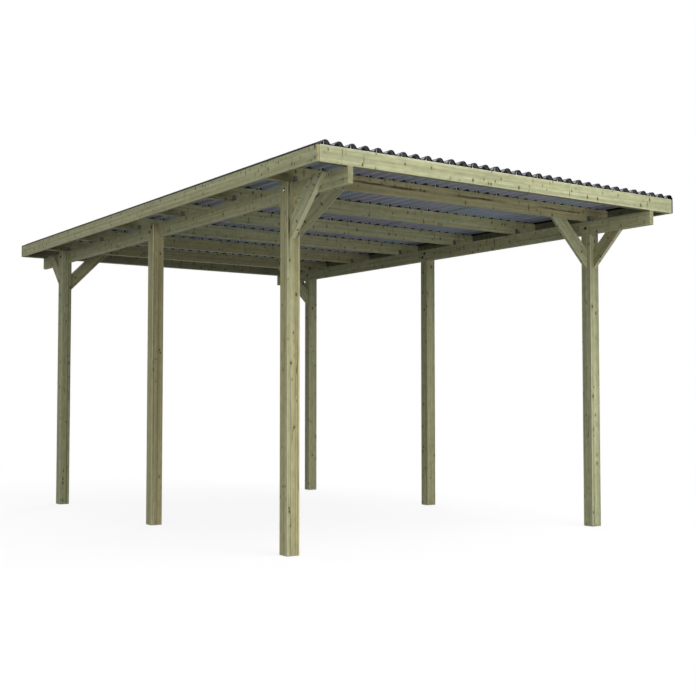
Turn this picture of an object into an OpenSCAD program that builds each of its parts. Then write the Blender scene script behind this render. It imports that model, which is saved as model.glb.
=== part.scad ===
// Open carport: six notched posts, two side beams, six rafters, a fascia all round,
// knee braces at the corner posts and a roof of corrugated sheets.
// X runs across the bay, Y runs front (-) to back (+), Z is up, millimetres.
// The origin is on the ground in the middle of the plan.

/* [Roof] */
// Width of the roof over the outer faces of the side fascias
roof_w = 3000; // [2400:10:4000]
// Length of the roof over the outer faces of the end fascias
roof_l = 5000; // [3800:10:7000]
// Height of the top of the rafters and fascias above the ground
eaves_h = 2332; // [2000:1:3000]
// Overhang of the roof past the outer faces of the posts, at each side
side_overhang = 155; // [60:1:400]
// Overhang of the roof past the outer faces of the corner posts, at the front and the back
end_overhang = 556; // [450:1:900]

/* [Posts] */
// Side of the square posts
post_s = 88; // [70:1:140]

/* [Side beams] */
// Thickness of the side beams, which is also the depth of the notch in the posts
beam_t = 34; // [25:1:50]
// Height of the side beams
beam_h = 100; // [80:1:180]

/* [Rafters] */
// Thickness of the rafters
rafter_t = 32; // [25:1:60]
// Height of the rafters and fascias
rafter_h = 98; // [80:1:160]
// Thickness of the side fascias
fascia_t = 18; // [15:1:30]
// Thickness of the fascias at the front and the back
end_fascia_t = 45; // [18:1:60]

/* [Knee braces] */
// Thickness of the braces
brace_t = 30; // [20:1:34]
// Width of the braces across their length
brace_w = 98; // [60:1:120]
// Height of a brace, from its lowest corner to its top at the underside of the rafters
brace_h = 349; // [280:1:500]
// Angle of the braces from level
brace_angle = 45; // [40:1:55]

/* [Rafter brackets] */
// Width of the angle brackets that hold the rafters to the side beams
bracket_w = 30; // [20:1:34]
// Length of each leg of the angle brackets
bracket_leg = 40; // [30:1:60]
// Thickness of the angle brackets
bracket_t = 2; // [1:0.5:4]

/* [Roof sheets] */
// Pitch of the waves that the sheets are made to; the waves are fitted to the roof's width
wave_pitch = 91; // [60:1:130]
// Distance of the first trough from the roof's left edge
wave_shift = 12; // [0:1:40]
// Height of a wave, from the underside of a trough to the underside of a crest
wave_h = 26; // [15:1:45]
// Thickness of a sheet
sheet_t = 3.5; // [1:0.5:5]
// Number of waves by which the middle sheet laps over each side sheet
lap_waves = 1; // [1:1:2]

/* [Hidden] */
rafter_count = 6;
sheet_count = 3;
wave_steps = 12;
overrun = 10;
rafter_z = eaves_h - rafter_h;
beam_z = rafter_z - beam_h;
post_pitch = (roof_l - post_s) / 2 - end_overhang;
post_x = (roof_w - post_s) / 2 - side_overhang;
post_inner_x = post_x - post_s / 2;
beam_x = post_inner_x + beam_t / 2;
fascia_x = (roof_w - fascia_t) / 2;
end_fascia_y = (roof_l - end_fascia_t) / 2;
rafter_l = roof_w - 2 * fascia_t;
rafter_pitch = 2 * post_pitch / (rafter_count - 1);
brace_side_x = post_inner_x + beam_t + brace_t / 2;
brace_z = rafter_z - brace_h;
brace_foot_cut = brace_w / cos(brace_angle);
brace_reach = brace_h / tan(brace_angle);
brace_inner_reach = (brace_h - brace_foot_cut) / tan(brace_angle);
waves = round(roof_w / wave_pitch);
wave_l = roof_w / waves;
side_waves = floor(waves / sheet_count);
lap_first = side_waves - lap_waves;
lap_last = waves - side_waves + lap_waves;
crest_share = 0.1;

timber = "#a9a67c";
timber_shade = "#97946c";
sheet_grey = "#43454d";
galvanised = "#9a9c9e";

// Form of a wave at a turn from its trough; a share of a third wave fills out the crest and the trough
function wave_form(turn) = cos(turn) - crest_share * cos(3 * turn);

// Height of a sheet's underside over a trough, at a distance from the roof's left edge
function wave_rise(x) =
    let (turn = 360 * (x - wave_shift) / wave_l)
    max(0, wave_h * (1 - wave_form(turn) / wave_form(180 / wave_steps)) / 2);

// Distance of a trough from the roof's left edge, counted from the first one
function trough(number) = wave_shift + number * wave_l;

// Centre of a rafter along the roof, counted from 1 at the front
function rafter_y(number) = -post_pitch + (number - 1) * rafter_pitch;

// A board or beam given by its size and the centre of its underside
module board(size, centre) {
    translate([centre.x - size.x / 2, centre.y - size.y / 2, centre.z])
        cube(size);
}

// A post whose inner side is cut back at the top, where the side beam lies
module post(side, row) {
    color(timber)
        difference() {
            board([post_s, post_s, rafter_z], [side * post_x, row * post_pitch, 0]);
            board(
                [beam_t + overrun, post_s + overrun, beam_h + overrun],
                [side * (beam_x - overrun / 2), row * post_pitch, beam_z]
            );
        }
}

module beam(side) {
    color(timber)
        board([beam_t, roof_l, beam_h], [side * beam_x, 0, beam_z]);
}

module rafter(number) {
    color(timber_shade)
        board([rafter_l, rafter_t, rafter_h], [0, rafter_y(number), rafter_z]);
}

module end_fascia(end) {
    color(timber)
        board([rafter_l, end_fascia_t, rafter_h], [0, end * end_fascia_y, rafter_z]);
}

module side_fascia(side) {
    color(timber)
        board([fascia_t, roof_l, rafter_h], [side * fascia_x, 0, rafter_z]);
}

// A brace that stands against a post at X zero and reaches out along X, centred on Y
module brace() {
    color(timber_shade)
        rotate([90, 0, 0])
            linear_extrude(height = brace_t, center = true)
                polygon([
                    [0, brace_z],
                    [brace_reach, rafter_z],
                    [brace_inner_reach, rafter_z],
                    [0, brace_z + brace_foot_cut]
                ]);
}

// A brace along the side, from a corner post's outer end out to the beam's outer face
module side_brace(side, end) {
    translate([side * brace_side_x, end * (post_pitch + post_s / 2), 0])
        rotate([0, 0, end * 90])
            brace();
}

// A brace across the bay, from a corner post's inner face up to the rafter over it
module cross_brace(side, end) {
    translate([side * post_inner_x, end * post_pitch, 0])
        rotate([0, 0, 90 + side * 90])
            brace();
}

// One angle bracket, its corner at the foot of a rafter's front face
module bracket() {
    board([bracket_w, bracket_t, bracket_leg], [0, -bracket_t / 2, 0]);
    board([bracket_w, bracket_leg, bracket_t], [0, -bracket_leg / 2, 0]);
}

module bracket_row(side) {
    color(galvanised)
        for (number = [1 : rafter_count])
            translate([side * beam_x, rafter_y(number) - rafter_t / 2, rafter_z])
                bracket();
}

// A sheet between two distances from the roof's left edge
module roof_sheet(start, end, lift) {
    inner = [
        for (w = [-1 : waves]) for (i = [0 : wave_steps - 1])
            let (x = trough(w + (i + 1 / 2) / wave_steps))
            if (x > start && x < end) x
    ];
    underside = [for (x = concat([start], inner, [end])) [x - roof_w / 2, lift + wave_rise(x)]];
    count = len(underside);
    upper = [for (i = [1 : count]) underside[count - i] + [0, sheet_t]];
    color(sheet_grey)
        translate([0, roof_l / 2, eaves_h])
            rotate([90, 0, 0])
                linear_extrude(height = roof_l)
                    polygon(concat(underside, upper));
}

post(-1, -1);  // post_front_left
post(1, -1);  // post_front_right
post(-1, 0);  // post_middle_left
post(1, 0);  // post_middle_right
post(-1, 1);  // post_back_left
post(1, 1);  // post_back_right
beam(-1);  // beam_left
beam(1);  // beam_right
rafter(1);  // rafter_1
rafter(2);  // rafter_2
rafter(3);  // rafter_3
rafter(4);  // rafter_4
rafter(5);  // rafter_5
rafter(6);  // rafter_6
end_fascia(-1);  // fascia_front
end_fascia(1);  // fascia_back
side_fascia(-1);  // fascia_left
side_fascia(1);  // fascia_right
side_brace(-1, -1);  // side_brace_front_left
side_brace(1, -1);  // side_brace_front_right
side_brace(-1, 1);  // side_brace_back_left
side_brace(1, 1);  // side_brace_back_right
cross_brace(-1, -1);  // cross_brace_front_left
cross_brace(1, -1);  // cross_brace_front_right
cross_brace(-1, 1);  // cross_brace_back_left
cross_brace(1, 1);  // cross_brace_back_right
bracket_row(-1);  // brackets_left
bracket_row(1);  // brackets_right
roof_sheet(0, trough(side_waves), 0);  // sheet_left
roof_sheet(trough(lap_first), trough(lap_last), sheet_t);  // sheet_middle
roof_sheet(trough(waves - side_waves), roof_w, 0);  // sheet_right
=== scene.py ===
"""Open timber carport: the looks of every piece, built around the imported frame.

Lengths are metres. X runs across the bay, Y from the front to the back and Z up, as in the frame.
"""
import math
import random

import bmesh
import bpy
import numpy as np
from mathutils import Matrix, Vector


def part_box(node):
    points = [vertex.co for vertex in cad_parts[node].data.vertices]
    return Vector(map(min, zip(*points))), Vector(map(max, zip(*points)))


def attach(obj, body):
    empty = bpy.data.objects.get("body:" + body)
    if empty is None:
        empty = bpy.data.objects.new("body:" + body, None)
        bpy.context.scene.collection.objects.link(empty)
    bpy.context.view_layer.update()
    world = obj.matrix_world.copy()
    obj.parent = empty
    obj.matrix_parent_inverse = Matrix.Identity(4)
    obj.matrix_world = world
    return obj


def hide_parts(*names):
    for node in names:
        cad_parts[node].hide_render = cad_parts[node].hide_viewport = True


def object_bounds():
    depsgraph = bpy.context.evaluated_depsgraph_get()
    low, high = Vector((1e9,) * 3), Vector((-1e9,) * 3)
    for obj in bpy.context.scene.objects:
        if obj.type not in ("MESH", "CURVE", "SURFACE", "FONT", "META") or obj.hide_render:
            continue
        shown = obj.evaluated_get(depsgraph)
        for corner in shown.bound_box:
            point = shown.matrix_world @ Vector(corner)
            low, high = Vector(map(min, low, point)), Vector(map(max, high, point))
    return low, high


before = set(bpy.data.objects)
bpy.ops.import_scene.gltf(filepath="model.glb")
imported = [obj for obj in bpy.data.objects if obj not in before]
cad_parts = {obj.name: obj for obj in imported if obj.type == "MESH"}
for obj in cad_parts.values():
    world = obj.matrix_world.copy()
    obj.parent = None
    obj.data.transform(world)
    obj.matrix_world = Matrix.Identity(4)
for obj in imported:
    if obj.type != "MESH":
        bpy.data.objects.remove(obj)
cad_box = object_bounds()
draw = random.Random(11)

# Names of the nodes that share a form
SIDES = {"left": -1, "right": 1}
ENDS = {"front": -1, "back": 1}
ROWS = ("front", "middle", "back")
RAFTERS = [f"rafter_{number}" for number in range(1, 7)]
POSTS = [f"post_{row}_{side}" for row in ROWS for side in SIDES]
BEAMS = [f"beam_{side}" for side in SIDES]
FASCIAS = [f"fascia_{name}" for name in (*ENDS, *SIDES)]
BRACES = [f"{kind}_brace_{end}_{side}" for kind in ("side", "cross") for end in ENDS for side in SIDES]
SHEETS = ("sheet_left", "sheet_middle", "sheet_right")

# Boards
ARRIS_RADIUS = 0.004
ARRIS_STEPS = 3
STRIP_LENGTH = 0.1
SAME_PLACE = 1e-5
SAME_FACE = 1e-4
FLAT_DEGREES = 1
# Least part of a face's normal along an axis: for a flat face, a sawn end, a face with its arrises
# and a brace's lower edge
FLAT_PART = 0.98
SAWN_PART = 0.6
ARRIS_PART = 0.2
LOWER_EDGE_PART = 0.4
# Length of the log that the boards are thought to be cut from, and the range of their tones
LOG_LENGTH = 60
TONES = (0.95, 1.04)

# Shares of painted shade on the fascias, and of darkening on the beams' ends
SIDE_BACK_SHADE = 0.62
END_BACK_SHADE = 0.40
END_FOOT_SHADE = 0.60
EDGE_SHADE = 0.95
BEAM_END_DARKENING = 0.27

# Boards that are browner or greener than the rest, and how brown
WARM_BOARDS = {
    "post_front_left": 0.55,
    "post_front_right": 0.05,
    "post_middle_left": 0.7,
    "post_back_left": 0.1,
    "rafter_1": 1.0,
    "rafter_5": 0.8,
    "rafter_6": 0.9,
    "side_brace_front_right": 0.8,
    "cross_brace_back_left": 0.8,
}

# Boards that are darker or paler than the rest, and their tone beside it
BOARD_TONES = {
    "post_back_left": 0.86,
    "beam_left": 1.07,
    "rafter_2": 1.14,
    "rafter_5": 0.88,
    "rafter_6": 0.88,
    "fascia_left": 1.04,
    "side_brace_front_right": 0.80,
    "side_brace_back_right": 0.85,
    "cross_brace_back_left": 0.84,
}

# Boards whose arrises carry more painted highlight, partly wear, than those of the rest of their kind, and
# how much
HIGHLIT_EDGE_BOARDS = {"beam_left": 0.6, "rafter_5": 0.35, "rafter_6": 0.8}

# Boards with a dark streak on the front: how far off their middle, and where along the grain
STREAKS = {
    "rafter_1": (0.008, ((-0.91, -0.23), (0.0, 0.40), (0.79, 1.19))),
    "post_front_left": (-0.0360, ((0.72, 1.20),)),
}
STREAK_HALF = 0.0072
STREAK_EDGE = (STREAK_HALF * 0.5, STREAK_HALF * 1.4)
STREAK_DROP = 0.013
STREAK_DRIFT = 0.016
STREAK_FADE = 0.12

# Growth rings
RING_PITCH = 0.0044
RING_TAPER = 0.010
RING_WANDER = 0.014
RING_PUSH = 0.006

# Cells to a metre, along the grain, across it and through it, that may hold a knot
KNOT_CELLS = (34.0, 20.0, 7.0)
SPIKE_CELLS = (34.0, 7.0, 20.0)
POST_KNOT_CELLS = (14.0, 26.0, 26.0)
# How ragged knots are, and where their rim starts and their surround and push end, times the radius
KNOT_RAGGEDNESS = 0.035
KNOT_RIM = 0.80
KNOT_HALO_REACH = 2.2
KNOT_PUSH_REACH = 4.5

# Scales of the timber's other patterns, in the same order
WANDER_SCALE = (0.9, 8, 8)
BAND_SCALE = (0.30, 26, 26)
BLOTCH_SCALE = (1.7, 6, 6)
TAN_SCALE = (0.18, 24, 24)
LINE_SCALE = (0.25, 105, 105)
FINE_STREAK_SCALE = (0.6, 60, 60)
FIBRE_SCALE = (14, 800, 800)
MOTTLE_SCALE = (16, 45, 45)
RAGGED_KNOT_SCALE = (90, 160, 160)
DRIFT_SCALE = (1.6, 3, 3)
RAGGED_STREAK_SCALE = (7, 120, 120)
CRACK_SCALE = (0.6, 20, 20)
CRACK_PATCH_SCALE = (1.0, 7, 7)

# Range of most of a noise's values, and the tones between which three of these patterns change the wood
NOISE_RANGE = (0.25, 0.75)
FINE_STREAK_TONES = (0.75, 1.16)
FIBRE_TONES = (0.93, 1.06)
MOTTLE_TONES = (0.87, 1.11)

# Scales of the roof sheets' patterns, along X, Y and Z
DUST_SCALE = (9, 1.3, 9)
RUN_SCALE = (42, 0.5, 8)
SPECK_SCALE = (420, 420, 420)
SHEEN_SCALE = (2.4, 0.7, 1)

# Roof sheets
WAVE_COUNT = 33
WAVE_SHIFT = 0.012
WAVE_STEPS = 24
CREST_SHARE = 0.1
SHEET_THICKNESS = 0.0035
SHEET_SHARP_DEGREES = 60
# Rows of a sheet, measured back from a support's back face, and the share of painted shadow of the support
# there
SHADOW_ROWS = ((-0.015, 0.0), (-0.007, 1.0), (0.050, 1.0), (0.075, 0.0))
# Rows of a sheet in from a cut end, and the share of dark rim there, partly the cut edge and partly painted
# shade
RIM_ROWS = ((0.0, 1.0), (0.008, 1.0), (0.011, 0.0))
# Painted shade below, over the end fascias
END_REACH = 0.045
END_SHADE = 0.65
# Distances in from the roof's side, and the shares of dark rim above, partly painted shade, and of painted
# shade below there
SIDE_RIM = ((0.040, 0.050), (1.0, 0.0))
SIDE_SHADE = ((0.03, 0.10, 0.25), (1.0, 0.50, 0.0))
# Heights on the waves, as shares, and the share of painted shade on their upper side there
DARK_CREST = ((0.60, 0.85), (0.0, 0.85))

# Roof screws, through every second crest; the cap's outline is (radius, height over the sheet)
ROOF_SCREW_STEP = 2
ROOF_SHANK_RADIUS = 0.0032
ROOF_SHANK_SINK = 0.003
ROOF_SHANK_GAP = 0.0005
ROOF_CAP = [(0.0074, -0.0018), (0.0074, 0.0), (0.0068, 0.0009), (0.0048, 0.0017), (0.0012, 0.0022)]

# Angle brackets
BRACKET_THICKNESS = 0.002
BRACKET_BEND = 0.004
BRACKET_CORNER = 0.004
BRACKET_HOLE = 0.0026
BRACKET_SCREW_SCALE = 0.52
# Holes that hold a screw, of the first leg's four and then of the second's
BRACKET_SCREWS = (0, 3, 4, 7)
LEG_HOLES = 4
RING_POINTS = 16
BEND_STEPS = 4
COLUMN_DIGITS = 7

# Screws and bolts in the timber; the outlines are (radius, height over the face)
ROUND_SIDES = 20
SCREW_SIDES = 12
NUT_SIDES = 6
SCREW_RADIUS = 0.0060
BOLT_RADIUS = 0.0085
HEAD = [
    (SCREW_RADIUS, -0.001),
    (SCREW_RADIUS, 0.0006),
    (SCREW_RADIUS * 0.80, 0.0012),
    (SCREW_RADIUS * 0.42, 0.0013),
    (SCREW_RADIUS * 0.38, 0.0005),
]
DOME = [
    (BOLT_RADIUS, 0.002),
    (BOLT_RADIUS, 0.0026),
    (BOLT_RADIUS * 0.90, 0.0044),
    (BOLT_RADIUS * 0.65, 0.0061),
    (BOLT_RADIUS * 0.35, 0.0070),
    (BOLT_RADIUS * 0.05, 0.0073),
]
WASHER = [(0.012, 0.0), (0.012, 0.0016), (0.0115, 0.002), (0.005, 0.002)]
NUT = [(0.0068, 0.002), (0.0075, 0.0028), (0.0075, 0.0078), (0.0068, 0.0086)]
THREAD = [(0.004, 0.002), (0.004, 0.0125), (0.0032, 0.0135)]
# Heights of the screws in the side fascias, as shares
FASCIA_SCREW_SHARES = (0.27, 0.82)
# Rows of screws in a side brace: how far below its top, and how far out from the post
SIDE_BRACE_SCREWS = ((0.022, (0.219, 0.294)), (0.062, (0.174, 0.252)))
# Screws in a brace's lower edge: how far up from its foot, and how far down from its top
BRACE_FOOT_SCREW = 0.05
BRACE_TOP_SCREW = 0.06
# Places of the two bolts in a middle post, off the middle of the post and the beam
MIDDLE_POST_BOLTS = ((-0.010, 0.018), (0.018, -0.014))

# Camera, solved from the corners and edges in the photo
CAMERA_PLACE = (-4.7311, -7.4474, 0.9412)
CAMERA_YAW = math.radians(-34.796)
CAMERA_PITCH = math.radians(2.576)
CAMERA_LENS = 56.218
CAMERA_SENSOR = 36.0

# Softboxes: place, target, size and power
SOFTBOXES = {
    "key": ((1.7, -8.7, 10.0), (0.0, -2.5, 1.8), 8.0, 980.0),
    "fill": ((-9.0, -8.5, 2.0), (-1.5, -1.5, 1.5), 4.0, 310.0),
    "low": ((0.5, -6.2, 0.3), (0.0, -0.5, 2.3), 2.5, 80.0),
    "back": ((6.5, 8.5, 6.5), (0.5, 1.0, 1.5), 5.0, 650.0),
}
HORIZON_LIGHT = 0.05
ZENITH_LIGHT = 1.2

# Floor: its colour for light that it sends back and as it is seen, and where its glow grows to white
WHITE = (1, 1, 1, 1)
FLOOR_HALF = 40.0
FLOOR_LIGHT = (0.12, 0.12, 0.12, 1)
FLOOR_SEEN = (0.80, 0.80, 0.80, 1)
FLOOR_GLOW_SHARE = 0.85
FLOOR_NEAR = 3.2
FLOOR_FAR = 7.0


class Nodes:
    """The node tree of a material or a world, with short ways to add and join nodes."""

    def __init__(self, owner):
        owner.use_nodes = True
        self.owner = owner
        self.nodes = owner.node_tree.nodes
        self.links = owner.node_tree.links

    def feed(self, socket, value):
        """Joins an output to a socket, or sets the socket to a plain value."""
        if isinstance(value, bpy.types.NodeSocket):
            self.links.new(value, socket)
        else:
            socket.default_value = value

    def node(self, kind, inputs, **settings):
        made = self.nodes.new(kind)
        for name, value in settings.items():
            setattr(made, name, value)
        for name, value in inputs.items():
            self.feed(made.inputs[name], value)
        return made

    def set(self, **inputs):
        """Feeds the surface shader's sockets, named with _ for a space."""
        for name, value in inputs.items():
            self.feed(self.nodes["Principled BSDF"].inputs[name.replace("_", " ")], value)

    def attribute(self, name, output="Fac"):
        return self.node("ShaderNodeAttribute", {}, attribute_name=name).outputs[output]

    def place(self, output="Object"):
        return self.node("ShaderNodeTexCoord", {}).outputs[output]

    def calc(self, operation, *values):
        return self.node("ShaderNodeMath", dict(enumerate(values)), operation=operation).outputs[0]

    def times(self, first, *others):
        """The product of numbers."""
        for other in others:
            first = self.calc("MULTIPLY", first, other)
        return first

    def greatest(self, first, *others):
        for other in others:
            first = self.calc("MAXIMUM", first, other)
        return first

    def vector(self, operation, *values):
        return self.node("ShaderNodeVectorMath", dict(enumerate(values)), operation=operation).outputs[0]

    def split(self, value):
        return self.node("ShaderNodeSeparateXYZ", {0: value}).outputs

    def step(self, value, low, high, at_low=0.0, at_high=1.0):
        """A smooth change from one number to another as value goes from low to high."""
        inputs = {"Value": value, "From Min": low, "From Max": high, "To Min": at_low, "To Max": at_high}
        return self.node("ShaderNodeMapRange", inputs, interpolation_type="SMOOTHSTEP").outputs[0]

    def mix(self, share, first, second):
        inputs = {0: share, 6: first, 7: second}
        return self.node("ShaderNodeMix", inputs, data_type="RGBA").outputs[2]

    def dim(self, colour, value):
        """A colour times a number."""
        grey = self.node("ShaderNodeCombineXYZ", {0: value, 1: value, 2: value}).outputs[0]
        return self.vector("MULTIPLY", colour, grey)

    def noise(self, where, scale, detail=2.0, roughness=0.5, output="Fac"):
        inputs = {
            "Vector": self.vector("MULTIPLY", where, scale),
            "Scale": 1.0,
            "Detail": detail,
            "Roughness": roughness,
        }
        return self.node("ShaderNodeTexNoise", inputs).outputs[output]

    def cells(self, where, scale):
        inputs = {"Vector": self.vector("MULTIPLY", where, scale), "Scale": 1.0}
        return self.node("ShaderNodeTexVoronoi", inputs).outputs

    def bump(self, height, strength, distance):
        inputs = {"Height": height, "Strength": strength, "Distance": distance}
        return self.node("ShaderNodeBump", inputs).outputs[0]


# Colours

def srgb(red, green, blue):
    """A colour given as screen values from 0 to 255, as a linear colour with alpha."""
    linear = []
    for value in (red, green, blue):
        share = value / 255
        linear.append(share / 12.92 if share <= 0.04045 else ((share + 0.055) / 1.055) ** 2.4)
    return (*linear, 1.0)


EARLY_WOOD = srgb(189, 193, 158)
LATE_WOOD = srgb(147, 144, 102)
BANDED_WOOD = srgb(155, 154, 112)
GREEN_WOOD = srgb(150, 163, 126)
BROWN_WOOD = srgb(172, 158, 112)
TAN_WOOD = srgb(180, 160, 112)
BROWN_LINE = srgb(112, 100, 60)
KNOT_HALO = srgb(128, 113, 70)
# Hearts of long knots, spikes and posts' knots: the lightest, the darkest and how far they cover the wood
KNOT_HEARTS = (
    (srgb(96, 80, 46), srgb(44, 38, 19), 0.95),
    (srgb(104, 88, 50), srgb(66, 54, 30), 0.8),
    (srgb(70, 60, 32), srgb(40, 34, 16), 0.9),
)
PALE_STREAK = srgb(200, 188, 142)
DARK_STREAK = srgb(64, 45, 23)
CRACK = srgb(70, 56, 36)
SAWN_WOOD = srgb(140, 130, 92)
HIGHLIT_EDGE_WOOD = srgb(212, 210, 174)
DARKENING_COLOUR = srgb(44, 41, 32)

SHEET_TOP = srgb(140, 143, 153)
SHEET_BELOW = srgb(186, 191, 206)
SHEET_TINTS = (srgb(172, 194, 206), srgb(190, 186, 210))
SHEET_DUST = srgb(176, 182, 190)
SHEET_RUNS = srgb(156, 156, 182)
SHEET_SPECK = srgb(196, 198, 202)
SHEET_SHADE = srgb(22, 21, 26)
CUT_EDGE = (srgb(40, 38, 48), srgb(66, 64, 74))
CAP_GREY = (srgb(44, 46, 52), srgb(66, 68, 72))

# Metals: the darkest and the lightest of the coat
GALVANISED_GREY = (srgb(70, 67, 66), srgb(122, 119, 118))
ZINC_GREY = (srgb(158, 160, 160), srgb(206, 208, 208))
STEEL_BROWN = (srgb(28, 25, 20), srgb(48, 43, 34))
SHANK_WHITE = (srgb(214, 214, 212), srgb(236, 236, 234))


# Materials

def new_material(name):
    return Nodes(bpy.data.materials.new(name))


def knots(s, grain, cells, least, spread, missing, share):
    """Knots in some cells of a pattern: core, stained surround, push on the rings, and shade."""
    cell = s.cells(grain, cells)
    chance, size, shade = s.split(cell["Color"])
    ragged = s.noise(grain, RAGGED_KNOT_SCALE)
    distance = s.calc("MULTIPLY_ADD", ragged, KNOT_RAGGEDNESS, cell["Distance"])
    radius = s.calc("MULTIPLY_ADD", s.calc("POWER", size, 2.0), spread, least)
    present = s.times(s.step(s.calc("SUBTRACT", chance, missing), 0.0, 0.02), share)
    core = s.step(distance, s.times(radius, KNOT_RIM), radius, present, 0.0)
    halo = s.step(distance, radius, s.times(radius, KNOT_HALO_REACH), present, 0.0)
    push = s.step(distance, 0.0, s.times(radius, KNOT_PUSH_REACH), present, 0.0)
    return core, halo, push, shade


def knot_kinds(s, grain, warmth, boxed):
    """The boards' long knots and spikes and the posts' round knots: cores, surrounds, pushes and shades."""
    boards = s.calc("SUBTRACT", 1.0, boxed)
    clear = s.calc("MULTIPLY_ADD", warmth, 0.5, 0.15)
    knot = knots(s, grain, KNOT_CELLS, least=0.160, spread=0.11, missing=0.50, share=boards)
    spike = knots(s, grain, SPIKE_CELLS, least=0.125, spread=0.09, missing=0.80, share=boards)
    post_knot = knots(s, grain, POST_KNOT_CELLS, least=0.12, spread=0.10, missing=clear, share=boxed)
    return zip(knot, spike, post_knot)


def late_wood(s, grain, push):
    """Share of dark late wood in the growth rings round the pith, pushed aside by knots."""
    wander = s.noise(grain, WANDER_SCALE, 3.0, output="Color")
    swayed = s.vector("MULTIPLY_ADD", wander, (0, RING_WANDER, RING_WANDER), grain)
    along, across, through = s.split(swayed)
    reach = s.calc("SQRT", s.calc("ADD", s.calc("POWER", across, 2), s.calc("POWER", through, 2)))
    reach = s.calc("MULTIPLY_ADD", along, RING_TAPER, reach)
    reach = s.calc("MULTIPLY_ADD", push, RING_PUSH, reach)
    ring = s.calc("FRACT", s.calc("DIVIDE", reach, RING_PITCH))
    return s.times(s.step(ring, 0.30, 0.88), s.step(ring, 0.93, 1.0, 1.0, 0.0))


def wood_colour(s, grain, late, warmth, boxed):
    """Rings, bands as long as the board and blotches of the treatment; posts show tan bands and lines too."""
    band = s.noise(grain, BAND_SCALE)
    blotch = s.noise(grain, BLOTCH_SCALE, 3.0, 0.6)
    colour = s.mix(s.times(late, 0.45), EARLY_WOOD, LATE_WOOD)
    colour = s.mix(s.step(band, 0.30, 0.70, 0.10, 0.60), colour, BANDED_WOOD)
    colour = s.mix(s.step(blotch, 0.42, 0.72, 0.0, 0.40), colour, GREEN_WOOD)
    colour = s.mix(s.times(warmth, 0.5), colour, BROWN_WOOD)
    tan = s.step(s.noise(grain, TAN_SCALE), 0.48, 0.62, 0.0, 0.55)
    colour = s.mix(s.times(tan, boxed, warmth), colour, TAN_WOOD)
    line = s.step(s.noise(grain, LINE_SCALE, 2.5, 0.55), 0.56, 0.64, 0.0, 0.65)
    return s.mix(s.times(line, boxed), colour, BROWN_LINE)


def dark_streak(s, grain):
    """Shares of the dark streak along a board, with ragged edges, and of the pale line under it."""
    drift = s.noise(grain, DRIFT_SCALE)
    level = s.calc("SUBTRACT", s.attribute("across"), STREAK_DRIFT / 2)
    height = s.calc("MULTIPLY_ADD", drift, STREAK_DRIFT, level)
    ragged = s.step(s.noise(grain, RAGGED_STREAK_SCALE, 3.0, 0.6), 0.30, 0.55)
    shares = []
    for drop in (0.0, STREAK_DROP):
        away = s.calc("ABSOLUTE", s.calc("ADD", height, drop))
        band = s.step(away, *STREAK_EDGE, 1.0, 0.0)
        shares.append(s.times(s.attribute("streak"), band, ragged))
    return shares


def drying_cracks(s, grain, checks):
    line = s.calc("ABSOLUTE", s.calc("SUBTRACT", s.noise(grain, CRACK_SCALE, 1.5), 0.5))
    patch = s.step(s.noise(grain, CRACK_PATCH_SCALE, 1.0), 0.52, 0.58)
    return s.times(s.step(line, 0.002, 0.007, 1.0, 0.0), patch, checks)


def timber_material():
    """Pressure-treated pine: growth rings, streaks, knots, drying cracks, arrises lighter as a painted
    highlight that is partly wear, and painted shade on the fascias.
    """
    s = new_material("treated_pine")
    grain = s.attribute("grain", "Vector")
    tone, warmth, checks = s.split(s.attribute("board", "Vector"))

    # Posts, which crack most, are sawn round the pith
    boxed = s.step(checks, 0.6, 0.9)
    cores, halos, pushes, shades = knot_kinds(s, grain, warmth, boxed)
    late = late_wood(s, grain, s.greatest(*pushes))

    # The wood, with short streaks, fine fibres and a mottle
    streaks = s.noise(grain, FINE_STREAK_SCALE, 3.0, 0.6)
    fibre = s.noise(grain, FIBRE_SCALE, 2.0, 0.6)
    mottle = s.noise(grain, MOTTLE_SCALE, 3.0, 0.6)
    value = s.times(
        s.step(streaks, *NOISE_RANGE, *FINE_STREAK_TONES),
        s.step(fibre, *NOISE_RANGE, *FIBRE_TONES),
        s.step(mottle, *NOISE_RANGE, *MOTTLE_TONES),
        tone,
    )
    colour = s.dim(wood_colour(s, grain, late, warmth, boxed), value)

    # Knots with a stained surround, the dark streak and cracks
    colour = s.mix(s.times(s.greatest(*halos), 0.40), colour, KNOT_HALO)
    for core, shade, (lightest, darkest, share) in zip(cores, shades, KNOT_HEARTS):
        colour = s.mix(s.times(core, share), colour, s.mix(shade, lightest, darkest))
    streak, pale = dark_streak(s, grain)
    colour = s.mix(s.times(pale, 0.5), colour, PALE_STREAK)
    colour = s.mix(s.times(streak, 0.95), colour, DARK_STREAK)
    crack = drying_cracks(s, grain, checks)
    colour = s.mix(s.times(crack, 0.75), colour, CRACK)

    # Sawn ends are darker; arrises lighter as a painted highlight that is partly wear; painted shade on the
    # fascias, and the beams' ends darker
    colour = s.mix(s.times(s.attribute("sawn_end"), 0.50), colour, SAWN_WOOD)
    colour = s.mix(s.attribute("arris"), colour, HIGHLIT_EDGE_WOOD)
    colour = s.mix(s.attribute("darkening"), colour, DARKENING_COLOUR)

    height = s.calc("MULTIPLY_ADD", late, 0.25, fibre)
    height = s.calc("MULTIPLY_ADD", crack, -2.5, height)
    height = s.calc("MULTIPLY_ADD", cores[0], 0.4, height)
    s.set(
        Base_Color=colour,
        Roughness=s.step(streaks, 0.2, 0.8, 0.58, 0.74),
        Specular_IOR_Level=0.20,
        Normal=s.bump(height, strength=0.35, distance=0.0008),
    )
    return s.owner


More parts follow.
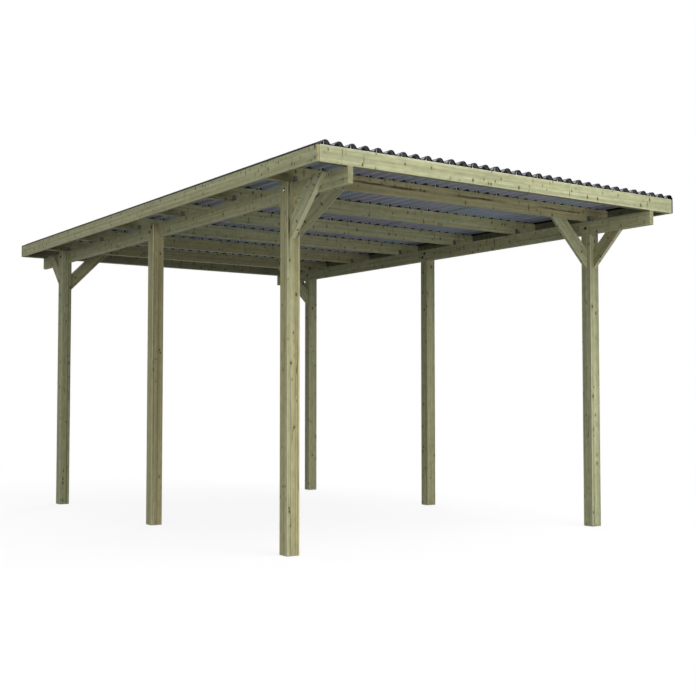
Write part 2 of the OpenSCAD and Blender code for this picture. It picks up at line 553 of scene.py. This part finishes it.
def sheet_material():
    """Corrugated sheet, dull, dark above and pale below, with faint dust and runs along the waves, and
    painted shade behind the supports, over the ends, near the sides and on the crests.
    """
    s = new_material("roof_sheet_grey")
    place = s.place()
    dust = s.noise(place, DUST_SCALE, 4.0, 0.6)
    runs = s.noise(place, RUN_SCALE, 3.0, 0.55)
    speck = s.noise(place, SPECK_SCALE)
    sheen = s.step(s.noise(place, SHEEN_SCALE), 0.40, 0.60)
    below = s.mix(0.6, SHEET_BELOW, s.mix(sheen, *SHEET_TINTS))
    colour = s.mix(s.attribute("below"), SHEET_TOP, below)
    colour = s.mix(s.step(dust, 0.35, 0.75, 0.0, 0.4), colour, SHEET_DUST)
    colour = s.mix(s.step(runs, 0.45, 0.75, 0.0, 0.4), colour, SHEET_RUNS)
    colour = s.mix(s.step(speck, 0.62, 0.75, 0.0, 0.2), colour, SHEET_SPECK)
    # Painted shade and dark rims, from the attribute
    colour = s.mix(s.attribute("painted_shade"), colour, SHEET_SHADE)
    s.set(
        Base_Color=colour,
        Roughness=s.step(dust, 0.3, 0.8, 0.42, 0.56),
        Specular_IOR_Level=0.08,
        Normal=s.bump(speck, strength=0.08, distance=0.0004),
    )
    return s.owner


def gritty_material(name, colours, grit_scale, rough):
    """Dull plastic or a dull cut, between two colours."""
    s = new_material(name)
    grit = s.noise(s.place(), (grit_scale, grit_scale, grit_scale), 3.0)
    s.set(
        Base_Color=s.mix(grit, *colours),
        Roughness=s.step(grit, 0.3, 0.7, *rough),
        Normal=s.bump(grit, strength=0.2, distance=0.0003),
    )
    return s.owner


def metal_material(name, colours, metallic, rough, spangle):
    """Coated steel with a blotchy coat."""
    s = new_material(name)
    place = s.place()
    flake_scale = spangle * 6
    flake = s.split(s.cells(place, (flake_scale, flake_scale, flake_scale))["Color"])[0]
    cloud = s.noise(place, (spangle, spangle, spangle), 3.0, 0.6)
    shade = s.calc("MULTIPLY_ADD", flake, 0.4, s.times(cloud, 0.6))
    s.set(
        Base_Color=s.mix(s.step(shade, 0.2, 0.75), *colours),
        Metallic=metallic,
        Roughness=s.step(cloud, 0.3, 0.7, *rough),
        Normal=s.bump(cloud, strength=0.15, distance=0.0003),
    )
    return s.owner


TIMBER = timber_material()
SHEET = sheet_material()
SHEET_EDGE = gritty_material("roof_sheet_cut_edge", CUT_EDGE, grit_scale=300, rough=(0.55, 0.75))
SCREW_CAP = gritty_material("roof_screw_cap", CAP_GREY, grit_scale=160, rough=(0.4, 0.6))
GALVANISED = metal_material(
    "galvanised_steel", GALVANISED_GREY, metallic=0.4, rough=(0.40, 0.58), spangle=55
)
# Zinc for the lit copy of the bolt domes, a painted highlight
LIT_ZINC = metal_material("lit_zinc", ZINC_GREY, metallic=0.7, rough=(0.28, 0.42), spangle=30)
DARK_STEEL = metal_material("dark_steel", STEEL_BROWN, metallic=0.2, rough=(0.45, 0.65), spangle=40)
SHANK = metal_material("white_zinc", SHANK_WHITE, metallic=0.0, rough=(0.40, 0.55), spangle=30)


# Ways to make a piece

class Shape:
    """Gathers points and faces, of one form or of many small ones, into one piece."""

    def __init__(self):
        self.points = []
        self.faces = []
        self.looks = []

    def add(self, points, faces, place=Matrix(), look=0):
        first = len(self.points)
        self.points += [place @ Vector(point) for point in points]
        self.faces += [[first + corner for corner in face] for face in faces]
        self.looks += [look] * len(faces)

    def piece(self, name, materials, slot, nodes=(), sharp_degrees=35):
        mesh = bpy.data.meshes.new(name)
        mesh.from_pydata(self.points, [], self.faces)
        for material in materials:
            mesh.materials.append(material)
        mesh.polygons.foreach_set("material_index", self.looks)
        mesh.shade_smooth()
        mesh.set_sharp_from_angle(angle=math.radians(sharp_degrees))
        return add_piece(name, mesh, nodes)


def add_piece(name, mesh, nodes):
    """Puts a mesh in the scene as a piece of the carport that stands for these nodes."""
    piece = bpy.data.objects.new(name, mesh)
    bpy.context.scene.collection.objects.link(piece)
    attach(piece, "root")
    if nodes:
        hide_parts(*nodes)
    return piece


def keep_attribute(mesh, name, domain, values):
    """Keeps numbers or vectors on a mesh's points or faces, for its material."""
    values = np.asarray(values, np.float32)
    is_vector = values.ndim == 2
    layer = mesh.attributes.new(name, "FLOAT_VECTOR" if is_vector else "FLOAT", domain)
    layer.data.foreach_set("vector" if is_vector else "value", values.ravel())


def lathe(profile, sides=ROUND_SIDES):
    """Points and faces of an outline of (radius, height), from its foot up, turned round Z."""
    turns = [2 * math.pi * k / sides for k in range(sides)]
    points = [(r * math.cos(a), r * math.sin(a), h) for r, h in profile for a in turns]
    faces = [list(range(sides))[::-1]]
    for row in range(len(profile) - 1):
        for k in range(sides):
            after = (k + 1) % sides
            low = row * sides
            high = low + sides
            faces.append([low + k, low + after, high + after, high + k])
    top = (len(profile) - 1) * sides
    faces.append([top + k for k in range(sides)])
    return points, faces


def facing(point, direction, turn=0.0):
    """Places a shape at a point with its Z axis along a direction, turned about it."""
    axis = Vector(direction).to_track_quat("Z", "Y").to_matrix().to_4x4()
    return Matrix.Translation(point) @ axis @ Matrix.Rotation(turn, 4, "Z")


def any_turn():
    return draw.uniform(0, 2 * math.pi)


def middle(node):
    low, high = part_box(node)
    return (low + high) / 2


def outer_face(node, side):
    """X of the face of a node that looks away from the bay."""
    low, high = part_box(node)
    return low.x if side == "left" else high.x


# Timber pieces

def timber_axes(node):
    """Unit vectors along the grain, across the width and through the thickness."""
    low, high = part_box(node)
    size = high - low
    order = sorted(range(3), key=lambda k: -size[k])
    axes = [Vector([float(k == j) for j in range(3)]) for k in order]
    if node in BRACES:
        kind, _, end, side = node.split("_")
        away = Vector((-SIDES[side] * size.x, 0, 0))
        if kind == "side":
            away = Vector((0, ENDS[end] * size.y, 0))
        along = (away + Vector((0, 0, size.z))).normalized()
        axes = [along, along.cross(axes[2]), axes[2]]
    return axes


def cut_board(node, axes):
    """A CAD node's solid with rounded arrises, cut into strips along the grain."""
    shell = bmesh.new()
    shell.from_mesh(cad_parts[node].data)
    bmesh.ops.remove_doubles(shell, verts=shell.verts, dist=SAME_PLACE)
    bend = math.radians(FLAT_DEGREES)
    bmesh.ops.dissolve_limit(shell, angle_limit=bend, verts=shell.verts, edges=shell.edges)
    bmesh.ops.recalc_face_normals(shell, faces=shell.faces)
    bmesh.ops.bevel(
        shell,
        geom=[edge for edge in shell.edges if edge.is_convex],
        offset=ARRIS_RADIUS,
        segments=ARRIS_STEPS,
        profile=0.5,
        affect="EDGES",
    )
    centre = middle(node)
    reach = [axes[0].dot(vert.co - centre) for vert in shell.verts]
    start = min(reach)
    length = max(reach) - start
    strips = max(1, round(length / STRIP_LENGTH))
    for cut in range(1, strips):
        bmesh.ops.bisect_plane(
            shell,
            geom=[*shell.verts, *shell.edges, *shell.faces],
            plane_co=centre + axes[0] * (start + length * cut / strips),
            plane_no=axes[0],
        )
    shell.normal_update()
    return shell


def face_weighted_normals(shell):
    """Normals at the points, each from its faces by their area, so that flat faces shade flat."""
    normals = []
    for vert in shell.verts:
        total = Vector()
        for face in vert.link_faces:
            total += face.normal * face.calc_area()
        normals.append(total.normalized())
    return normals


def streak_share(spans, along):
    """Share of a board's dark streak at a place along it."""
    shares = [min(along - start, end - along) / STREAK_FADE + 0.5 for start, end in spans]
    return min(1.0, max([0.0, *shares]))


def fascia_painted_shade(name, normal):
    """Share of painted shade on a fascia: backs, end fascias' feet, side fascias' tops, the right one's ends.
    """
    outwards = normal.x * SIDES[name] if name in SIDES else normal.y * ENDS[name]
    if outwards < -FLAT_PART:
        return SIDE_BACK_SHADE if name in SIDES else END_BACK_SHADE
    if name in ENDS:
        return END_FOOT_SHADE if normal.z < -FLAT_PART else 0.0
    dark_end = name == "right" and normal.x > -ARRIS_PART and abs(normal.y) > ARRIS_PART
    return EDGE_SHADE if dark_end or normal.z > ARRIS_PART else 0.0


def darkening_share(node, normal):
    """Share of darkening on a face of a board: painted shade on the fascias, and the beams' ends darker."""
    if node in FASCIAS:
        return fascia_painted_shade(node.split("_")[1], normal)
    return BEAM_END_DARKENING if node in BEAMS and abs(normal.y) > FLAT_PART else 0.0


def is_highlit_edge(node, normal, axes):
    """Arrises carry a painted highlight that is partly wear; on the side braces it is the whole lower edge
    instead, a painted highlight of light from below.
    """
    if abs(normal.dot(axes[0])) > SAWN_PART:
        return False
    if node.startswith("side_brace"):
        return normal.z < -LOWER_EDGE_PART
    return max(abs(normal.dot(axis)) for axis in axes) <= FLAT_PART


def board_mesh(node, pith, look, edge_highlight):
    """A board with flat faces shaded flat, round arrises shaded round, and the timber's attributes."""
    axes = timber_axes(node)
    shell = cut_board(node, axes)
    point_normals = face_weighted_normals(shell)
    normals = [face.normal.copy() for face in shell.faces]
    mesh = bpy.data.meshes.new(node)
    shell.to_mesh(mesh)
    shell.free()
    mesh.shade_smooth()
    mesh.normals_split_custom_set_from_vertices(point_normals)

    centre = middle(node)
    local = np.array([[axis.dot(vert.co - centre) for axis in axes] for vert in mesh.vertices])
    along, across, through = local.T
    rise, spans = STREAKS.get(node, (0.0, ()))
    is_front = through < through.min() + SAME_FACE
    streak = np.array([streak_share(spans, place) for place in along]) * is_front
    keep_attribute(mesh, "grain", "POINT", local + np.array([draw.uniform(0, LOG_LENGTH), *pith]))
    keep_attribute(mesh, "board", "POINT", np.tile(look, (len(local), 1)))
    keep_attribute(mesh, "across", "POINT", across - rise)
    keep_attribute(mesh, "streak", "POINT", streak)
    keep_attribute(mesh, "sawn_end", "FACE", [abs(normal.dot(axes[0])) > SAWN_PART for normal in normals])
    keep_attribute(mesh, "arris", "FACE", [is_highlit_edge(node, normal, axes) * edge_highlight for normal in normals])
    keep_attribute(mesh, "darkening", "FACE", [darkening_share(node, normal) for normal in normals])
    mesh.materials.append(TIMBER)
    return mesh


def add_timber(nodes, pith_range, checks, warm, edge_highlight):
    """Replaces nodes by rounded boards; the pith lies within a range from the board's middle."""
    for node in nodes:
        turn = any_turn()
        far = draw.uniform(*pith_range)
        pith = (far * math.cos(turn), far * math.sin(turn))
        tone = draw.uniform(*TONES)
        warmth = draw.uniform(0.0, warm)
        look = (tone * BOARD_TONES.get(node, 1.0), WARM_BOARDS.get(node, warmth), checks)
        mesh = board_mesh(node, pith, look, HIGHLIT_EDGE_BOARDS.get(node, edge_highlight))
        add_piece(f"{node}_timber", mesh, [node])


add_timber(POSTS, pith_range=(0.01, 0.035), checks=1.0, warm=0.5, edge_highlight=0.5)
add_timber(BEAMS, pith_range=(0.05, 0.10), checks=0.5, warm=0.3, edge_highlight=0.2)
add_timber(RAFTERS, pith_range=(0.04, 0.10), checks=0.4, warm=0.5, edge_highlight=0.0)
add_timber(FASCIAS, pith_range=(0.05, 0.12), checks=0.4, warm=0.25, edge_highlight=0.6)
add_timber(BRACES, pith_range=(0.04, 0.09), checks=0.3, warm=0.3, edge_highlight=0.75)


# Roof sheets

roof_low, roof_high = cad_box
WAVE_LENGTH = (roof_high.x - roof_low.x) / WAVE_COUNT
FIRST_TROUGH = roof_low.x + WAVE_SHIFT


def wave_share(x):
    """Height of the waves as a share, 0 in a trough and 1 on a crest."""
    turn = 2 * math.pi * (x - FIRST_TROUGH) / WAVE_LENGTH
    form = math.cos(turn) - CREST_SHARE * math.cos(3 * turn)
    return (1 - form / (1 - CREST_SHARE)) / 2


def sheet_section(low, high):
    """Outline of a sheet in X and Z: its top from left to right, then its underside back."""
    wave_height = high.z - low.z - SHEET_THICKNESS
    width = high.x - low.x
    steps = round(width / WAVE_LENGTH * WAVE_STEPS)
    places = [low.x + width * k / steps for k in range(steps + 1)]
    under = [(x, low.z + wave_height * wave_share(x)) for x in places]
    return [(x, z + SHEET_THICKNESS) for x, z in under] + under[::-1]


def sheet_rows(low, high):
    """Places of a sheet's rows along Y, each with its shares of dark rim and of painted shade below."""
    rows = {}
    for inset, share in RIM_ROWS:
        rows[low.y + inset] = (share, share)
        rows[high.y - inset] = (share, share)
    for node in ("fascia_front", *RAFTERS):
        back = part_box(node)[1].y
        for offset, share in SHADOW_ROWS:
            rows[back + offset] = (0.0, share)
    placed = []
    for y, (rim, painted_shade) in sorted(rows.items()):
        over_end = min(y - low.y, high.y - y) < END_REACH
        placed.append((y, rim, max(painted_shade, END_SHADE) if over_end else painted_shade))
    return placed


def sheet_faces(around, row_count):
    """Faces of a sheet, from row to row and at both ends, with 1 for a cut edge and 0 for the rest."""
    half = around // 2
    faces = []
    looks = []
    for row in range(row_count - 1):
        near = row * around
        far = near + around
        for k in range(around):
            after = (k + 1) % around
            faces.append([near + k, far + k, far + after, near + after])
            looks.append(1 if k in (half - 1, around - 1) else 0)
    last = (row_count - 1) * around
    for k in range(half - 1):
        below = around - 1 - k
        faces.append([k, k + 1, below - 1, below])
        faces.append([last + below, last + below - 1, last + k + 1, last + k])
        looks += [1, 1]
    return faces, looks


def sheet_painted_shade(x, rim, painted_shade, is_below):
    """Share of painted shade at a point below, or of dark rim and painted crest shade at a point above."""
    inset = min(x - roof_low.x, roof_high.x - x)
    if is_below:
        return max(painted_shade, np.interp(inset, *SIDE_SHADE))
    return max(rim, np.interp(inset, *SIDE_RIM), np.interp(wave_share(x), *DARK_CREST))


def add_sheet(node):
    """A corrugated sheet in the box of its node."""
    low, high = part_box(node)
    section = sheet_section(low, high)
    rows = sheet_rows(low, high)
    around = len(section)
    shape = Shape()
    shape.points = [(x, y, z) for y, _, _ in rows for x, z in section]
    shape.faces, shape.looks = sheet_faces(around, len(rows))
    sheet = shape.piece(f"{node}_waves", [SHEET, SHEET_EDGE], "roof_sheet", [node], SHEET_SHARP_DEGREES)
    shade_shares = []
    below_shares = []
    for _, rim, painted_shade in rows:
        for k, (x, _) in enumerate(section):
            is_below = k >= around // 2
            shade_shares.append(sheet_painted_shade(x, rim, painted_shade, is_below))
            below_shares.append(is_below)
    keep_attribute(sheet.data, "painted_shade", "POINT", shade_shares)
    keep_attribute(sheet.data, "below", "POINT", below_shares)


def roof_screws():
    """Screws through the crests into the end fascias and rafters, with low caps."""
    shape = Shape()
    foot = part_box("fascia_front")[1].z
    boxes = [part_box(node) for node in SHEETS]
    for node in ("fascia_front", *RAFTERS, "fascia_back"):
        for crest in range(0, WAVE_COUNT, ROOF_SCREW_STEP):
            x = FIRST_TROUGH + WAVE_LENGTH * (crest + 0.5)
            top = max(high.z for low, high in boxes if low.x < x < high.x) - foot
            place = Matrix.Translation((x, middle(node).y, foot))
            shank = [(ROOF_SHANK_RADIUS, -ROOF_SHANK_SINK), (ROOF_SHANK_RADIUS, top - ROOF_SHANK_GAP)]
            shape.add(*lathe(shank, SCREW_SIDES), place, 0)
            shape.add(*lathe([(radius, top + rise) for radius, rise in ROOF_CAP]), place, 1)
    shape.piece("roof_screws", [SHANK, SCREW_CAP], "bracket")


for sheet_node in SHEETS:
    add_sheet(sheet_node)
roof_screws()


# Screws and bolts in the timber

def add_screw(shape, point, direction):
    shape.add(*lathe(HEAD, SCREW_SIDES), facing(point, direction, any_turn()))


def fascia_screws(shape):
    """Pairs of screws through the side fascias, into every rafter and both end fascias."""
    for side, way in SIDES.items():
        low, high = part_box(f"fascia_{side}")
        for node in (*RAFTERS, "fascia_front", "fascia_back"):
            for share in FASCIA_SCREW_SHARES:
                height = low.z + (high.z - low.z) * share
                add_screw(shape, (outer_face(f"fascia_{side}", side), middle(node).y, height), (way, 0, 0))


def side_brace_screws(shape):
    """Four screws from each side brace into the beam, and one from below into the post."""
    for end, out in ENDS.items():
        for side, way in SIDES.items():
            node = f"side_brace_{end}_{side}"
            low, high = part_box(node)
            foot = high.y if end == "front" else low.y
            for drop, reaches in SIDE_BRACE_SCREWS:
                for reach in reaches:
                    point = (outer_face(node, side), foot + out * reach, high.z - drop)
                    add_screw(shape, point, (way, 0, 0))
            point = (middle(node).x, foot + out * BRACE_FOOT_SCREW, low.z + BRACE_FOOT_SCREW)
            add_screw(shape, point, (0, out, -1))


def cross_brace_screws(shape):
    """Two screws from below in each cross brace, into the post and into the rafter."""
    for end in ENDS:
        for side, way in SIDES.items():
            node = f"cross_brace_{end}_{side}"
            low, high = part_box(node)
            foot = low.x if side == "left" else high.x
            for rise in (BRACE_FOOT_SCREW, high.z - low.z - BRACE_TOP_SCREW):
                point = (foot - way * rise, middle(node).y, low.z + rise)
                add_screw(shape, point, (-way, 0, -1))


def post_bolts(heads, nuts):
    """Bolts through the posts and the beams in their notches; the domes on the front posts are lit zinc, the
    others dark steel as a painted shaded copy.
    """
    for post in POSTS:
        row, side = post.split("_")[1:]
        way = SIDES[side]
        beam_low, beam_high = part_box(f"beam_{side}")
        inner = beam_high.x if side == "left" else beam_low.x
        for along, up in MIDDLE_POST_BOLTS if row == "middle" else [(0, 0)]:
            y = middle(post).y + along
            z = (beam_low.z + beam_high.z) / 2 + up
            turn = any_turn()
            outwards = facing((outer_face(post, side), y, z), (way, 0, 0), turn)
            heads.add(*lathe(WASHER), outwards, 1)
            # Painted light: the front posts' domes are the lit copy, the others a shaded copy in dark steel
            heads.add(*lathe(DOME), outwards, 0 if row == "front" else 1)
            inwards = facing((inner, y, z), (-way, 0, 0), turn)
            nuts.add(*lathe(WASHER), inwards)
            nuts.add(*lathe(NUT, NUT_SIDES), inwards)
            nuts.add(*lathe(THREAD, SCREW_SIDES), inwards)


screws = Shape()
fascia_screws(screws)
side_brace_screws(screws)
cross_brace_screws(screws)
screws.piece("timber_screws", [DARK_STEEL], "bracket")
bolt_heads = Shape()
bolt_nuts = Shape()
post_bolts(bolt_heads, bolt_nuts)
bolt_heads.piece("post_bolt_heads", [LIT_ZINC, DARK_STEEL], "bracket")
bolt_nuts.piece("post_bolt_nuts", [DARK_STEEL], "bracket")


# Angle brackets, each bent from a flat strip

bracket_low, bracket_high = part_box("brackets_left")
BRACKET_HALF = (bracket_high.x - bracket_low.x) / 2
BRACKET_LEG = bracket_high.z - bracket_low.z
BRACKET_FLAT = BRACKET_LEG - BRACKET_BEND
BEND_RUN = BRACKET_BEND * math.pi / 2
STRIP_RUN = 2 * BRACKET_FLAT + BEND_RUN


def bent(across, run):
    """Point of a bracket's outer face, from its place on the strip before it was bent."""
    end = min(run, STRIP_RUN - run)
    inset = Vector((max(0, abs(across) - BRACKET_HALF + BRACKET_CORNER), max(0, BRACKET_CORNER - end)))
    if inset.length > BRACKET_CORNER:
        pull = 1 - BRACKET_CORNER / inset.length
        across -= math.copysign(inset.x * pull, across)
        run += inset.y * pull * (1 if run < STRIP_RUN / 2 else -1)
    if run <= BRACKET_FLAT:
        return Vector((across, 0, BRACKET_LEG - run))
    if run >= BRACKET_FLAT + BEND_RUN:
        return Vector((across, STRIP_RUN - run - BRACKET_LEG, 0))
    turn = (run - BRACKET_FLAT) / BRACKET_BEND
    return Vector((across, BRACKET_BEND * (math.cos(turn) - 1), BRACKET_BEND * (1 - math.sin(turn))))


def drilled_cells():
    """Quads round the holes of both legs, two by two, as points on the strip."""
    cell = Vector((BRACKET_HALF / 2, BRACKET_FLAT / 4))
    turns = [2 * math.pi * k / RING_POINTS for k in range(RING_POINTS)]
    ways = [Vector((math.cos(turn), math.sin(turn))) for turn in turns]
    quads = []
    holes = []
    for start in (0, BRACKET_FLAT + BEND_RUN):
        for across in (-1, 1):
            for down in (1, 3):
                centre = Vector((across * cell.x, start + down * cell.y))
                holes.append(centre)
                rings = []
                for way in ways:
                    edge = way / max(abs(way.x), abs(way.y))
                    rings.append((centre + edge * cell, centre + way * BRACKET_HOLE))
                for k in range(RING_POINTS):
                    outer, inner = rings[k]
                    next_outer, next_inner = rings[(k + 1) % RING_POINTS]
                    quads.append((outer, next_outer, next_inner, inner))
    return quads, holes


def bend_quads(quads):
    """Quads of the bend, from the points where the first leg ends."""
    foot = [point for quad in quads for point in quad if abs(point.y - BRACKET_FLAT) < SAME_PLACE]
    columns = sorted({round(point.x, COLUMN_DIGITS) for point in foot})
    made = []
    for left, right in zip(columns, columns[1:]):
        for k in range(BEND_STEPS):
            high = BRACKET_FLAT + BEND_RUN * k / BEND_STEPS
            low = BRACKET_FLAT + BEND_RUN * (k + 1) / BEND_STEPS
            corners = ((left, high), (right, high), (right, low), (left, low))
            made.append([Vector(corner) for corner in corners])
    return made


def bracket_form():
    """Points and faces of one angle bracket, and the places of its holes on the strip."""
    quads, holes = drilled_cells()
    shell = bmesh.new()
    for quad in quads + bend_quads(quads):
        shell.faces.new([shell.verts.new(bent(*point)) for point in quad])
    bmesh.ops.remove_doubles(shell, verts=shell.verts, dist=SAME_PLACE)
    bmesh.ops.recalc_face_normals(shell, faces=shell.faces)
    shell.normal_update()
    if sum(face.normal.y + face.normal.z for face in shell.faces) > 0:
        bmesh.ops.reverse_faces(shell, faces=shell.faces)
    bmesh.ops.solidify(shell, geom=shell.faces[:], thickness=-BRACKET_THICKNESS)
    bmesh.ops.recalc_face_normals(shell, faces=shell.faces)
    shell.verts.index_update()
    points = [vert.co.copy() for vert in shell.verts]
    faces = [[vert.index for vert in face.verts] for face in shell.faces]
    shell.free()
    return points, faces, holes


def add_brackets(side):
    """The row of brackets on a side beam, with screws in two holes of each leg."""
    shape = Shape()
    points, faces, holes = bracket_form()
    for node in RAFTERS:
        place = Matrix.Translation((middle(f"beam_{side}").x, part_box(node)[0].y, bracket_low.z))
        shape.add(points, faces, place, 0)
        for number in BRACKET_SCREWS:
            inwards = Vector((0, -1, 0)) if number < LEG_HOLES else Vector((0, 0, 1))
            seat = facing(place @ (bent(*holes[number]) + inwards * BRACKET_THICKNESS), inwards)
            shape.add(*lathe(HEAD, SCREW_SIDES), seat @ Matrix.Scale(BRACKET_SCREW_SCALE, 4), 1)
    shape.piece(f"angle_brackets_{side}", [GALVANISED, DARK_STEEL], "bracket", [f"brackets_{side}"])


for bracket_side in SIDES:
    add_brackets(bracket_side)


# Floor, light and camera

def backdrop_share(s):
    """1 for rays that see the backdrop: from the camera, a reflection or clear material."""
    path = s.node("ShaderNodeLightPath", {}).outputs
    return s.greatest(path["Is Camera Ray"], path["Is Glossy Ray"], path["Is Transmission Ray"])


def blend_shaders(s, share, first, second):
    return s.node("ShaderNodeMixShader", {0: share, 1: first.outputs[0], 2: second.outputs[0]})


def add_floor():
    """A pale floor that is seen as white with the carport's shadow on it."""
    corners = [(-1, -1), (1, -1), (1, 1), (-1, 1)]
    mesh = bpy.data.meshes.new("floor")
    mesh.from_pydata([(x * FLOOR_HALF, y * FLOOR_HALF, 0) for x, y in corners], [], [(0, 1, 2, 3)])
    floor = bpy.data.objects.new("floor", mesh)
    bpy.context.scene.collection.objects.link(floor)
    s = new_material("pale_floor")
    s.nodes.remove(s.nodes["Principled BSDF"])
    pale = s.node("ShaderNodeBsdfDiffuse", {"Color": FLOOR_LIGHT})
    white = s.node("ShaderNodeBsdfDiffuse", {"Color": FLOOR_SEEN})
    glow = s.node("ShaderNodeEmission", {"Color": WHITE})
    away = s.node("ShaderNodeVectorMath", {0: s.place()}, operation="LENGTH").outputs["Value"]
    seen = blend_shaders(s, s.step(away, FLOOR_NEAR, FLOOR_FAR, FLOOR_GLOW_SHARE, 1.0), white, glow)
    surface = blend_shaders(s, backdrop_share(s), pale, seen)
    s.feed(s.nodes["Material Output"].inputs["Surface"], surface.outputs[0])
    mesh.materials.append(s.owner)


def add_world():
    """White to look at, and a soft light that grows from the horizon up."""
    world = bpy.data.worlds.new("studio")
    bpy.context.scene.world = world
    s = Nodes(world)
    rise = s.split(s.place("Generated"))[2]
    light = s.node("ShaderNodeMapRange", {"Value": rise, "To Min": HORIZON_LIGHT, "To Max": ZENITH_LIGHT})
    fill = s.node("ShaderNodeBackground", {"Color": WHITE, "Strength": light.outputs[0]})
    white = s.node("ShaderNodeBackground", {"Color": WHITE})
    surface = blend_shaders(s, backdrop_share(s), fill, white)
    s.feed(s.nodes["World Output"].inputs["Surface"], surface.outputs[0])


def add_softbox(name, place, target, size, power):
    light = bpy.data.lights.new(name, "AREA")
    light.size = size
    light.energy = power
    lamp = bpy.data.objects.new(name, light)
    lamp.location = place
    lamp.visible_camera = False
    lamp.rotation_euler = (Vector(place) - Vector(target)).to_track_quat("Z", "Y").to_euler()
    bpy.context.scene.collection.objects.link(lamp)


def add_camera():
    data = bpy.data.cameras.new("camera")
    data.lens = CAMERA_LENS
    data.sensor_width = CAMERA_SENSOR
    camera = bpy.data.objects.new("camera", data)
    camera.location = CAMERA_PLACE
    camera.rotation_euler = (math.pi / 2 + CAMERA_PITCH, 0, CAMERA_YAW)
    bpy.context.scene.collection.objects.link(camera)
    bpy.context.scene.camera = camera


add_floor()
add_world()
for softbox, settings in SOFTBOXES.items():
    add_softbox(softbox, *settings)
add_camera()
bpy.context.scene.view_settings.view_transform = "Standard"
